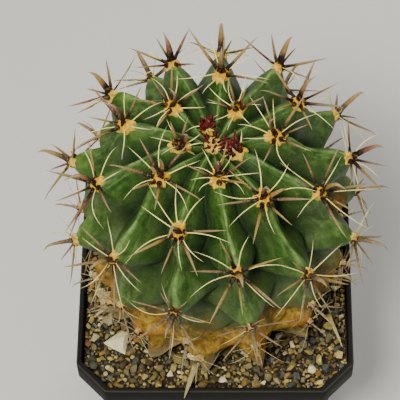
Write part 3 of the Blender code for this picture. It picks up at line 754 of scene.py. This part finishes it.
def addFelt(pile, shapes, rng, tree, step, seat):
    look = feltLook
    place, normal, crownward, right = seat["areole"]
    points, faces = shapes["dome"]
    scale, old = padScale(step), shareOf(step, *look["oldSteps"])
    radius = look["radius"] * scale
    top = max((root - place).dot(normal) for root in seat["roots"]) * look["rootShare"] + look["cover"]
    lobes = [(roll, look["lobe"]) for roll in seat["pale"]]
    lobes += [(roll, -look["notch"]) for roll in seat["dark"]]
    shaped, stain = [], []
    for x, y, z in points:
        roll = math.degrees(math.atan2(x, y))
        size = look["plain"]
        for other, lobe in lobes:
            size += lobe * math.exp(-(apart(roll, other) / look["lobeWidth"]) ** 2)
        flat = (crownward * y * look["stretch"] + right * x) * radius * size
        lump = noise.noise((place + flat) / look["lumpSize"]) * look["lump"] * (1 - math.hypot(x, y) * 0.5)
        ground = tree.ray_cast(place + flat + normal * look["castFrom"], -normal)[0]
        base = max((ground - place).dot(normal), look["lowest"]) if ground else look["lowest"]
        rise = base + max(z, 0) ** look["fullness"] * (top - base) + min(z, 0) * mm + lump * (z > 0)
        point = place + flat + normal * rise
        near = [math.exp(-((point - root).length / look["stain"]) ** 2) for root in seat["darkRoots"]]
        shaped.append(point)
        stain.append(max(near, default=0.0))
    tuft = np.maximum(points[:, 2], 0)
    pile.add(np.array(shaped), faces, old=old, chance=rng.random(), tuft=tuft, stain=stain)
    for hair in range(round(look["hairs"] * scale)):
        side, out = scatter(rng, crownward * look["stretch"], right)
        root = place + side * radius * look["hairsReach"] * out + normal * (top * (1 - out**2) * 0.8)
        lean = side * (0.4 + out) + normal * rng.uniform(0.3, 1.0)
        lean += Vector([rng.uniform(-0.4, 0.4) for axis in range(3)])
        length = rng.uniform(*look["hairLength"]) * scale
        addHair(pile, shapes["hair"], root, lean.normalized(), length, look["hairWidth"], old=old,
                chance=rng.random(), tuft=1.0, stain=0.0)


def feltPaint():
    look = feltLook
    p = Paint("areoleFelt", (0.75, 0.55, 0.2), Specular_IOR_Level=0.1)
    old, chance, tuft, stain = p.read("old", "chance", "tuft", "stain")
    woolly, clumps = p.noise(0.5 * mm, 3, 0.6), p.noise(1.6 * mm, 3, 0.6)
    fresh = p.ramp(woolly * 0.4 + clumps * 0.4 + (1 - tuft) * 0.2, *look["fresh"])
    worn = p.ramp(woolly * 0.5 + clumps * 0.5, *look["worn"])
    colour = p.over(fresh, (old * (0.6 + chance * 0.4), worn),
                    (stain.between(0.18, 0.42) * 0.97, look["dark"]))
    return p.finish(colour, 0.9, woolly, 0.25 * mm)


def makeSpines(tree, shapes):
    rng, feltRng = random.Random(spineLook["seed"]), random.Random(feltLook["seed"])
    felt, spine = Pile(), spinePaint()
    for step in range(plant["firstAreole"], plant["lastAreole"] + 1):
        node = f"spines_{step - plant['firstAreole'] + 1:02d}"
        mesh, seat = makeCluster(node, step, tree, rng, shapes)
        addPiece(f"fine_{node}", mesh, [spine], "spine", node)
        addFelt(felt, shapes, feltRng, tree, step, seat)
    addPiece("areoleFelt", felt.mesh("areoleFelt"), [feltPaint()], "wool")
    print("spines and felt made:", felt.count, "felt points")
    return spine


# Dead spines that lie by themselves at the foot, and dried stumps there

deadLook = {
    # root, tip, width and arch in mm
    "lines": (((-9.0, -50.5, 113.0), (-14.0, -69.9, 118.2), 2.8, 1.6),
              ((54.0, -26.5, 116.5), (60.4, -41.2, 111.5), 1.8, 2.0),
              ((56.2, -10.2, 130.0), (69.3, -12.4, 122.0), 2.2, 3.5),
              ((-47.5, -19.5, 119.0), (-58.8, -26.5, 113.5), 2.4, 1.2)),
    # middle and radius in mm
    "stumps": (((-50.0, -18.0, 114.5), 4.8), ((-55.0, -12.5, 113.0), 2.4)),
    "lump": 0.45, "lumpSize": 2.6 * mm, "flat": 0.45, "tone": 0.2, "seed": 3,
}


def makeDeadSpines(spine, shapes):
    look, up, pile = deadLook, Vector((0, 0, 1)), Pile()
    rng = random.Random(look["seed"])
    for root, tip, width, arch in look["lines"]:
        root, tip, bend = Vector(root) * mm, Vector(tip) * mm, -up * (arch * mm)
        reach = tip - root
        addSpine(pile, shapes["stout"], (root, reach - bend, bend), reach.cross(up).normalized(), width * mm,
                 look["flat"], tone=look["tone"], young=0.0, old=1.0, chance=rng.random())
    bm = bmesh.new()
    bmesh.ops.create_icosphere(bm, subdivisions=4, radius=1)
    ball, faces = shapeArrays(bm)
    for place, radius in look["stumps"]:
        lumpy = []
        for way in map(Vector, ball):
            lump = noise.fractal(way * radius * mm / look["lumpSize"], 0.8, 2.1, 4)
            lumpy.append(way * (radius * mm * (1 + look["lump"] * lump)))
        pile.add(np.array(lumpy) + np.array(Vector(place) * mm), faces, along=0.9, tone=look["tone"],
                 young=0.0, old=1.0, chance=0.5)
    addPiece("deadSpines", pile.mesh("deadSpines"), [spine], "spine")


# Crown: a tuft of pale wool over the growing point, with the youngest crimson spines standing in it

crownLook = {
    "radius": 4.0 * mm, "height": 2.2 * mm, "lump": 0.8 * mm, "lumpSize": 1.5 * mm, "castFrom": 8 * mm,
    "hairs": 380, "hairLength": (1.2 * mm, 3.0 * mm), "hairWidth": 0.18 * mm, "topSearch": 10 * mm,
    "budCone": (6, 6), "buds": 12, "budLength": (4 * mm, 8 * mm), "budWidth": 1.5 * mm, "budFlat": 0.7,
    "budsReach": 0.9, "seed": 7,
}


def makeCrown(tree, spine, shapes):
    look = crownLook
    rng = random.Random(look["seed"])
    up, north, east = Vector((0, 0, 1)), Vector((0, 1, 0)), Vector((1, 0, 0))
    top = Vector((plant["x"], 0, plant["rimHeight"] + plant["crest"][0][2] * mm))
    place = tree.ray_cast(top + up * look["topSearch"], -up)[0]
    points, faces = shapes["dome"]
    wool, shaped = Pile(), []
    for x, y, z in points:
        flat = (north * y + east * x) * look["radius"]
        ground = tree.ray_cast(place + flat + up * look["castFrom"], -up)[0]
        lump = noise.noise((place + flat) / look["lumpSize"]) * look["lump"]
        shaped.append(ground + up * (max(z, 0) * look["height"] + min(z, 0) * mm + lump * (z > 0)))
    wool.add(np.array(shaped), faces, old=0.4, chance=0.5, tuft=0.2, stain=0.0)
    for hair in range(look["hairs"]):
        side, out = scatter(rng, north, east)
        root = place + side * look["radius"] * out + up * look["height"] * (1 - out**2) * 0.7
        lean = (side * out + up * rng.uniform(0.2, 1.0) + east * rng.uniform(-0.5, 0.5)).normalized()
        addHair(wool, shapes["hair"], root, lean, rng.uniform(*look["hairLength"]), look["hairWidth"],
                old=rng.uniform(0.2, 0.8), chance=0.5, tuft=0.8, stain=0.0)
    addPiece("crownWool", wool.mesh("crownWool"), [feltPaint()], "wool", "crown_wool")

    buds, shape = Pile(), coneShape(*look["budCone"])

    def addBud(root, reach, bend, width):
        addSpine(buds, shape, (root, reach, bend), reach.orthogonal(), width, look["budFlat"], tone=1.0,
                 young=1.0, old=0.0, chance=rng.random())

    for bud in solidSpines("crown_wool"):
        addBud(bud["root"], bud["reach"], bud["bend"], bud["width"])
    for bud in range(look["buds"]):
        side, out = scatter(rng, north, east)
        root = place + side * look["radius"] * look["budsReach"] * out + up * mm
        reach = (side * out * 0.8 + up).normalized() * rng.uniform(*look["budLength"])
        addBud(root, reach, Vector(), look["budWidth"])
    addPiece("crownBuds", buds.mesh("crownBuds"), [spine], "spine")
    print("crown made")


# Grit: crushed grains of many stones, largest first, each lying half sunk on the bed of the frame

gritLook = {
    # size and spread in mm, and how many places are tried
    "sizes": ((6.2, 0.9, 130), (4.5, 0.6, 800), (3.3, 0.5, 3200), (2.4, 0.3, 8000), (1.7, 0.2, 14000)),
    "smallest": 0.5, "packing": 0.62, "sunk": (-0.05, 0.28), "lean": 0.5, "sharp": 38, "seed": 5,
    "shapes": 14, "corners": 15, "chosenCorners": 9, "cornerAt": (0.85, 1.05),
    "narrow": (0.7, 1.0), "low": (0.5, 0.85),
    "innerWidth": 125.4 * mm, "cornerReach": 111.9 * mm, "cornerRoom": 1.42, "neck": 31 * mm, "cell": 7 * mm,
    # stones that stand out: x, y, size in mm and tone. The first is the big one, whose corners follow in mm
    "chosen": ((-46.2, -36.5, 13, 0.99), (-28.5, -42.3, 5.5, 0.96), (23.0, -57.8, 4.5, 0.99),
               (36.5, -37.1, 4.5, 0.97), (57.6, -7.9, 6, 0.99), (-21.2, -52.7, 4.5, 0.95),
               (4.3, -56.3, 7, 0.96), (50.5, -46.0, 8, 0.4), (59.0, -44.0, 6.5, 0.62),
               (44.0, -41.8, 5.5, 0.45), (38.1, -53.7, 5.5, 0.8)),
    "bigStone": ((-7.1, 0.0, -0.6), (1.4, 6.0, 0.2), (5.1, 4.6, 0.2), (3.6, -6.4, -0.2), (-3.8, -2.7, -0.4),
                 (-1.8, 0.6, 1.8), (3.4, 2.6, 2.8), (2.3, -2.8, 2.2), (0, 0, -3)),
    "bigStoneLift": 2 * mm,
    # stones' colours by tone, and the bed's from dark soil with painted shade in the gaps between grains to
    # dust
    "stones": ((0.0, (0.07, 0.048, 0.014)), (0.14, (0.2, 0.14, 0.034)), (0.26, (0.4, 0.3, 0.07)),
               (0.4, (0.6, 0.5, 0.16)), (0.5, (0.24, 0.145, 0.03)), (0.58, (0.44, 0.23, 0.04)),
               (0.64, (0.62, 0.54, 0.2)), (0.72, (0.055, 0.06, 0.042)), (0.84, (0.12, 0.135, 0.125)),
               (0.9, (0.42, 0.35, 0.12)), (0.96, (0.74, 0.68, 0.42))),
    "grain": (0.1, 0.07, 0.045), "dim": (0.05, 0.038, 0.014),
    "bed": ((0.38, (0.006, 0.005, 0.003)), (0.52, (0.022, 0.016, 0.009)), (0.64, (0.075, 0.055, 0.028))),
}


def hullShape(points):
    bm = bmesh.new()
    for point in points:
        bm.verts.new(point)
    hull = bmesh.ops.convex_hull(bm, input=bm.verts)
    loose = [item for item in hull["geom_interior"] if isinstance(item, bmesh.types.BMVert)]
    bmesh.ops.delete(bm, geom=loose, context="VERTS")
    return shapeArrays(bm)


def grainShapes(rng):
    look, shapes = gritLook, []
    for count in range(look["shapes"] + len(look["chosen"])):      # the last are for the chosen stones
        corners = look["corners"] if count < look["shapes"] else look["chosenCorners"]
        points = []
        for corner in range(corners):
            way = Vector([rng.gauss(0, 1) for axis in range(3)]).normalized()
            points.append(way * rng.uniform(*look["cornerAt"]))
        shapes.append(hullShape(points))
    return shapes


def placeGrains(rng):      # place, radius and tone of each grain
    look, near, placed = gritLook, {}, []
    half, packing = look["innerWidth"] / 2, look["packing"]

    def cellOf(x, y):
        return int(x // look["cell"]), int(y // look["cell"])

    def keep(x, y, radius, tone):
        near.setdefault(cellOf(x, y), []).append((x, y, radius))
        placed.append((x, y, radius, tone))

    for x, y, size, tone in look["chosen"]:
        keep(x * mm, y * mm, size * mm / 2, tone)
    for mean, spread, tries in look["sizes"]:
        for attempt in range(tries):
            radius = max(rng.gauss(mean, spread), look["smallest"] * mean) * mm / 2
            x, y = rng.uniform(-half, half), rng.uniform(-half, half)
            isInside = max(abs(x), abs(y)) <= half - radius
            isOffCorner = abs(x) + abs(y) <= look["cornerReach"] - radius * look["cornerRoom"]
            if not (isInside and isOffCorner) or math.hypot(x - plant["x"], y) < look["neck"]:
                continue
            column, row = cellOf(x, y)
            around = [other for dx in (-1, 0, 1) for dy in (-1, 0, 1)
                      for other in near.get((column + dx, row + dy), ())]
            if all(math.hypot(x - ox, y - oy) > packing * (radius + other) for ox, oy, other in around):
                keep(x, y, radius, rng.random())
    return placed


def makeGrit():
    look, pile = gritLook, Pile()
    bm = nodeMesh("soil")
    tree = BVHTree.FromBMesh(bm)
    bm.free()
    rng = random.Random(look["seed"])
    shapes = grainShapes(rng)
    for number, (x, y, radius, tone) in enumerate(placeGrains(rng)):
        bed = tree.ray_cast(Vector((x, y, 0.2)), Vector((0, 0, -1)))[0]
        isChosen = number < len(look["chosen"])
        points, faces = shapes[look["shapes"] + number] if isChosen else rng.choice(shapes[:look["shapes"]])
        squash = Vector((1.0, rng.uniform(*look["narrow"]), rng.uniform(*look["low"])))
        turn, lean = rng.uniform(0, math.tau), rng.gauss(0, look["lean"])
        turn = Matrix.Rotation(turn, 3, "Z") @ Matrix.Rotation(lean, 3, "X")
        grain = (points * squash * radius) @ np.array(turn).T
        height = bed.z + radius * squash.z * (1 - 2 * rng.uniform(*look["sunk"]))
        shade = 0.0 if isChosen else rng.random()
        if number == 0:
            grain, faces = hullShape([Vector(point) * mm for point in look["bigStone"]])
            height = bed.z + look["bigStoneLift"]
        pile.add(grain + np.array((x, y, height)), faces, tone=tone, shade=shade)
    mesh = pile.mesh("gritGrains")
    mesh.set_sharp_from_angle(angle=math.radians(look["sharp"]))
    addPiece("gritGrains", mesh, [gritPaint()], "grit")
    print("grit made:", len(pile.points), "grains,", len(pile.faces), "faces")


def gritPaint():
    p = Paint("gritStone", (0.4, 0.33, 0.24), Specular_IOR_Level=0.5)
    tone, shade = p.read("tone", "shade")
    stains, grains = p.noise(2.0 * mm, 4, 0.6), p.noise(0.5 * mm, 3, 0.6)
    stone = p.ramp(tone, *gritLook["stones"])
    colour = p.mix(stains.between(0.4, 0.7) * 0.7, stone, stone, "MULTIPLY")
    colour = p.over(colour, (grains.between(0.5, 0.7) * 0.3, gritLook["grain"]),
                    (shade.between(0.2, 0.9) * 0.75, gritLook["dim"]))
    return p.finish(colour, 0.45 + shade * 0.2 + grains * 0.3, grains + stains * 0.6, 0.15 * mm)


# the bed is nearly black: dark soil and painted shade in the gaps between the grains
def bedAndGapShadePaint():
    p = Paint("gritBedAndGapShade", (0.12, 0.09, 0.06), Specular_IOR_Level=0.25)
    fine, broad = p.noise(0.9 * mm, 4, 0.65), p.noise(5 * mm, 3)
    colour = p.ramp(fine * 0.75 + broad * 0.25, *gritLook["bed"])
    return p.finish(colour, 0.92, fine, 0.5 * mm)


# Pot: a plain square nursery pot with cut corners and a banded rim

potLook = {
    "height": 115 * mm, "rim": 130 * mm, "rimDepth": 13 * mm, "lip": 2.3 * mm, "base": 96 * mm,
    "wall": 1.8 * mm, "floor": 2.2 * mm, "step": 1.9 * mm, "cut": 14 * mm,
    "round": 1.05 * mm, "roundSegments": 5,
    "soft": 0.5 * mm, "softFrom": 40, "softSegments": 3, "sharp": 35,      # angles in degrees
    "holeRadius": 5 * mm, "holeReach": 29 * mm, "holeDepth": 10 * mm, "holeSides": 40,
    # rubbing and a painted highlight along the rim's top outer edge: where the outer sides, the cut corners
    # and the top edge begin
    "worn": ((64.2 * mm, 64.7 * mm), (114.6 * mm, 115.3 * mm), (114.0 * mm, 114.6 * mm)),
    "dusty": (109 * mm, 117 * mm), "black": ((0.004, 0.004, 0.004), (0.012, 0.012, 0.011)),
    "dust": (0.02, 0.019, 0.013), "scuff": (0.035, 0.035, 0.028), "rubAndHighlight": (0.06, 0.06, 0.044),
}


def potWall(height):
    look = potLook
    return look["base"] + (look["rim"] - 2 * look["step"] - look["base"]) * height / look["height"]


def makePot():
    look = potLook
    rim, top, under, wall = look["rim"], look["height"], look["height"] - look["rimDepth"], look["wall"]
    inside = rim - 2 * look["lip"]
    sections = ((look["base"], 0.0), (potWall(under), under), (rim, under), (rim, top), (inside, top),
                (inside, under + wall), (potWall(under) - 2 * wall, under),
                (potWall(look["floor"]) - 2 * wall, look["floor"]))
    bm = bmesh.new()
    bmesh.ops.create_grid(bm, x_segments=1, y_segments=1, size=rim / 2)
    for offset, segments in ((look["cut"], 1), (look["round"], look["roundSegments"])):
        bmesh.ops.bevel(bm, geom=bm.verts[:], offset=offset, affect="VERTICES", segments=segments,
                        profile=0.5, material=-1)
    face = next(iter(bm.faces))
    width, height = rim, 0.0
    for number, (newWidth, newHeight) in enumerate(sections):
        if number:
            face = bmesh.ops.extrude_discrete_faces(bm, faces=[face])["faces"][0]
        size = newWidth / width
        bmesh.ops.scale(bm, vec=(size, size, 1), verts=face.verts)
        bmesh.ops.translate(bm, vec=(0, 0, newHeight - height), verts=face.verts)
        width, height = newWidth, newHeight
    fillHoles(bm)
    bmesh.ops.recalc_face_normals(bm, faces=bm.faces)
    rims = [edge for edge in bm.edges if edge.calc_face_angle(0) > math.radians(look["softFrom"])]
    bmesh.ops.bevel(bm, geom=rims, offset=look["soft"], affect="EDGES", segments=look["softSegments"],
                    profile=0.5, material=-1, clamp_overlap=True)
    return closeMesh("pot", bm, look["sharp"])


def cutDrainHoles(pot):
    look, cutters = potLook, []
    for quarter in range(4):
        turn = (quarter + 0.5) * math.tau / 4
        spot = (look["holeReach"] * math.cos(turn), look["holeReach"] * math.sin(turn), look["floor"] / 2)
        bm = bmesh.new()
        bmesh.ops.create_cone(bm, cap_ends=True, segments=look["holeSides"], radius1=look["holeRadius"],
                              radius2=look["holeRadius"], depth=look["holeDepth"],
                              matrix=Matrix.Translation(spot))
        cutter = newObject(f"holeCutter{quarter}", closeMesh("holeCutter", bm))
        cut = pot.modifiers.new("hole", "BOOLEAN")
        cut.operation, cut.object = "DIFFERENCE", cutter
        cutters.append(cutter)
    shaped = bpy.data.meshes.new_from_object(pot.evaluated_get(bpy.context.evaluated_depsgraph_get()))
    pot.modifiers.clear()
    pot.data = shaped
    for cutter in cutters:
        bpy.data.objects.remove(cutter)


def potPaint():
    look = potLook
    p = Paint("blackPlastic", (0.02, 0.02, 0.02), Specular_IOR_Level=0.1)
    grain, dust, scuff = p.noise(0.6 * mm, 3, 0.6), p.noise(22 * mm, 5, 0.65), p.noise(3 * mm, 5, 0.7)
    rimDust = (p.height() + scuff * (3 * mm)).between(*look["dusty"])
    x, y = p.axis(0).size(), p.axis(1).size()
    side, corner, top = look["worn"]
    # a pale line along the rim's top outer edge: rubbing and a painted highlight
    worn = x.most(y).between(*side).most((x + y).between(*corner)) * p.height().between(*top)
    colour = p.over(p.mix(dust * 0.5 + grain * 0.2, *look["black"]), (rimDust * 0.3, look["dust"]),
                    (scuff.between(0.58, 0.72) * 0.2, look["scuff"]),
                    (worn * (0.2 + scuff * 0.6), look["rubAndHighlight"]))
    return p.finish(colour, 0.48 + dust * 0.2 + rimDust * 0.15, grain + scuff * 0.4, 0.05 * mm)


# Stage: the photograph's viewing angle, a pale floor and soft light

stageLook = {
    "elevation": 60.015, "roll": -2.789, "turn": 3.049, "distance": 883.108 * mm,
    "aim": (-5.856 * mm, 38.199 * mm, 0), "focalPixels": 1791.101, "imagePixels": 400, "sensor": 36.0,
    "clip": (0.01, 20), "floorSize": 6.0, "floorColour": (0.62, 0.6, 0.57),
    "floorTones": ((0.6, 0.58, 0.55), (0.66, 0.64, 0.61)),
    "sky": (0.9, 0.9, 0.88, 1), "skyStrength": 0.15,
    # lamps: place and size in metres, power and colour
    "lamps": {
        "keyLamp": ((-0.26, -0.5, 1.2), 0.35, 20, (1.0, 0.97, 0.92)),
        "fillLamp": ((0.9, -0.6, 0.8), 0.9, 2.5, (0.92, 0.96, 1.0)),
        "backLamp": ((0.2, 0.9, 1.0), 0.6, 9, (1.0, 0.98, 0.95)),
    },
    "lampAim": (0, 0, 0.16),
}


def makeCamera():
    look = stageLook
    tilt, roll = math.radians(look["elevation"]), math.radians(look["roll"])
    back, right = Vector((0, -math.cos(tilt), math.sin(tilt))), Vector((1, 0, 0))
    up = back.cross(right)
    right, up = right * math.cos(roll) + up * math.sin(roll), up * math.cos(roll) - right * math.sin(roll)
    turn = Matrix.Rotation(math.radians(look["turn"]), 3, "Z")
    place = turn @ (Vector(look["aim"]) + back * look["distance"])
    camera = newObject("camera", bpy.data.cameras.new("camera"))
    axes = Matrix((turn @ right, turn @ up, turn @ back)).transposed().to_4x4()
    camera.matrix_world = Matrix.Translation(place + Vector((0, 0, plant["rimHeight"]))) @ axes
    camera.data.sensor_width = look["sensor"]
    camera.data.lens = look["focalPixels"] / look["imagePixels"] * look["sensor"]
    camera.data.clip_start, camera.data.clip_end = look["clip"]
    bpy.context.scene.camera = camera


def makeStage():
    look = stageLook
    bm = bmesh.new()
    bmesh.ops.create_grid(bm, x_segments=1, y_segments=1, size=look["floorSize"] / 2)
    floor = newObject("floor", closeMesh("floor", bm))
    p = Paint("floor", look["floorColour"], Specular_IOR_Level=0.2)
    cloud = p.noise(0.3, 3)
    floor.data.materials.append(p.finish(p.mix(cloud, *look["floorTones"]), 0.8, cloud, mm))
    for name, (place, size, power, colour) in look["lamps"].items():
        lamp = bpy.data.lights.new(name, "AREA")
        lamp.shape, lamp.size, lamp.energy, lamp.color = "DISK", size, power, colour
        shown = newObject(name, lamp)
        shown.location = place
        shown.rotation_euler = (Vector(look["lampAim"]) - Vector(place)).to_track_quat("-Z", "Y").to_euler()
    world = bpy.data.worlds.new("softLight")
    world.use_nodes = True
    sky = world.node_tree.nodes["Background"].inputs
    sky["Color"].default_value, sky["Strength"].default_value = look["sky"], look["skyStrength"]
    bpy.context.scene.world = world


makeCamera()
makeStage()
skinMesh, skinTree = makeSkin()
addPiece("cactusSkin", skinMesh, [skinPaint()], "green_skin", "cactus_body")
print("skin made:", len(skinMesh.polygons), "faces")
repeats = {"stout": coneShape(*spineLook["stoutCone"]), "thin": coneShape(*spineLook["thinCone"]),
           "dome": domeShape(), "hair": shapeArrays(unitCone(feltLook["hairSides"]))}
spineMaterial = makeSpines(skinTree, repeats)
makeDeadSpines(spineMaterial, repeats)
makeCrown(skinTree, spineMaterial, repeats)
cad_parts["soil"].data.materials.clear()
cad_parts["soil"].data.materials.append(bedAndGapShadePaint())
makeGrit()
pot = addPiece("plasticPot", makePot(), [potPaint()], "black_plastic", "pot")
cutDrainHoles(pot)
print("pot made")
